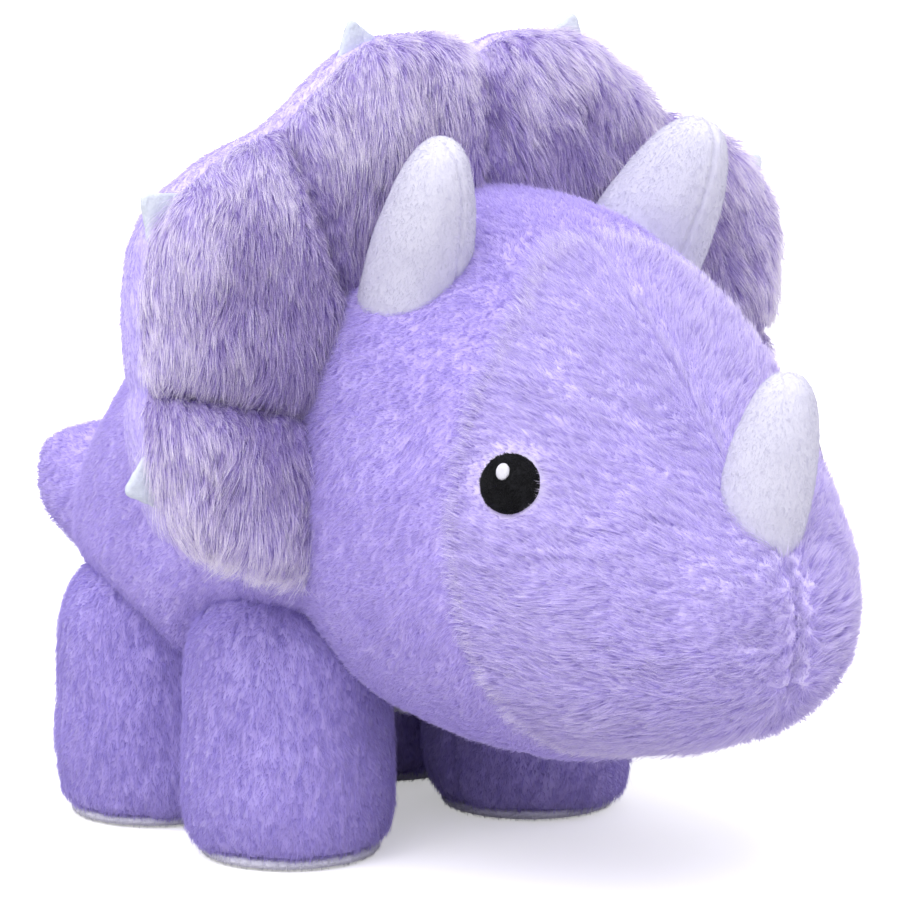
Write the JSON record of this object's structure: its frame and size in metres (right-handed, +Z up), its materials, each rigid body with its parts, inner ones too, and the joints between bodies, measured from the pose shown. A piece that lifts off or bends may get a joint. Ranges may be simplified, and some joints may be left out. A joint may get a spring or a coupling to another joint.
{
  "type": "stuffed dinosaur",
  "caption": "Plush three-horned dinosaur with a scalloped quilted frill, stuffed horns, felt rim spikes, stubby legs and tail; head, legs and tail flex at their seams.",
  "frame": {"origin": "centre of the base of the bounding box, on the surface the four soles stand on", "axes": "+Z up, -Y towards the nose, +X to the animal's left side"},
  "size_m": [0.3074, 0.391, 0.3024],
  "materials": {
    "short_plush": "short lilac plush pile, matt",
    "face_plush": "long pale lilac plush pile, matt",
    "frill_plush": "long frosted plush pile with pale tips, matt",
    "frill_back_plush": "smooth short lilac plush, matt",
    "grey_plush": "short grey-white plush, matt",
    "horn_fabric": "smooth off-white velboa, matt",
    "felt": "pale grey-green felt, matt",
    "eye_plush": "black fuzzy applique, matt",
    "eye_thread": "white satin embroidery",
    "wadding": "white polyester fibre filling"
  },
  "bodies": {
    "torso": {"body_left_panel": "short_plush", "body_right_panel": "short_plush", "belly_panel": "grey_plush", "body_stuffing": "wadding"},
    "neck": {"neck_stuffing": "wadding"},
    "head": {"head_left_cheek": "short_plush", "head_right_cheek": "short_plush", "face_left_panel": "face_plush", "face_right_panel": "face_plush", "head_stuffing": "wadding", "frill_back_panel": "frill_back_plush", "eye_left": "eye_plush", "eye_right": "eye_plush", "eye_left_highlight": "eye_thread", "eye_right_highlight": "eye_thread", "brow_horn_left_skin": "horn_fabric", "brow_horn_left_stuffing": "wadding", "brow_horn_right_skin": "horn_fabric", "brow_horn_right_stuffing": "wadding", "nose_horn_skin": "horn_fabric", "nose_horn_stuffing": "wadding", "frill_front_left_top": "frill_plush", "frill_wadding_left_top": "wadding", "frill_spike_left_top": "felt", "frill_front_left_middle": "frill_plush", "frill_wadding_left_middle": "wadding", "frill_spike_left_middle": "felt", "frill_front_left_lower": "frill_plush", "frill_wadding_left_lower": "wadding", "frill_spike_left_lower": "felt", "frill_front_right_top": "frill_plush", "frill_wadding_right_top": "wadding", "frill_spike_right_top": "felt", "frill_front_right_middle": "frill_plush", "frill_wadding_right_middle": "wadding", "frill_spike_right_middle": "felt", "frill_front_right_lower": "frill_plush", "frill_wadding_right_lower": "wadding", "frill_spike_right_lower": "felt"},
    "tail": {"tail_skin": "short_plush", "tail_stuffing": "wadding"},
    "leg_front_left": {"leg_front_left_skin": "short_plush", "leg_front_left_sole": "grey_plush", "leg_front_left_stuffing": "wadding"},
    "leg_front_right": {"leg_front_right_skin": "short_plush", "leg_front_right_sole": "grey_plush", "leg_front_right_stuffing": "wadding"},
    "leg_rear_left": {"leg_rear_left_skin": "short_plush", "leg_rear_left_sole": "grey_plush", "leg_rear_left_stuffing": "wadding"},
    "leg_rear_right": {"leg_rear_right_skin": "short_plush", "leg_rear_right_sole": "grey_plush", "leg_rear_right_stuffing": "wadding"}
  },
  "joints": [
    {"name": "head_turn", "type": "hinge", "parent": "torso", "child": "neck", "pos_m": [0, 0.0085, 0.135], "axis": [0, 0, 1], "range_deg": [-7, 7], "stiffness_Nm_per_rad": 6},
    {"name": "head_nod", "type": "hinge", "parent": "neck", "child": "head", "pos_m": [0, 0.0085, 0.135], "axis": [1, 0, 0], "range_deg": [-6, 5], "stiffness_Nm_per_rad": 12},
    {"name": "tail_wag", "type": "hinge", "parent": "torso", "child": "tail", "pos_m": [-0.005, 0.1265, 0.108], "axis": [0, 0, 1], "range_deg": [-15, 15], "stiffness_Nm_per_rad": 1},
    {"name": "leg_front_left_swing", "type": "hinge", "parent": "torso", "child": "leg_front_left", "pos_m": [0.058, 0.0105, 0.068], "axis": [1, 0, 0], "range_deg": [-12, 4], "stiffness_Nm_per_rad": 4},
    {"name": "leg_front_right_swing", "type": "hinge", "parent": "torso", "child": "leg_front_right", "pos_m": [-0.058, 0.0105, 0.068], "axis": [1, 0, 0], "range_deg": [-12, 4], "stiffness_Nm_per_rad": 4},
    {"name": "leg_rear_left_swing", "type": "hinge", "parent": "torso", "child": "leg_rear_left", "pos_m": [0.056, 0.0945, 0.068], "axis": [1, 0, 0], "range_deg": [-4, 12], "stiffness_Nm_per_rad": 4},
    {"name": "leg_rear_right_swing", "type": "hinge", "parent": "torso", "child": "leg_rear_right", "pos_m": [-0.056, 0.0945, 0.068], "axis": [1, 0, 0], "range_deg": [-4, 12], "stiffness_Nm_per_rad": 4}
  ]
}
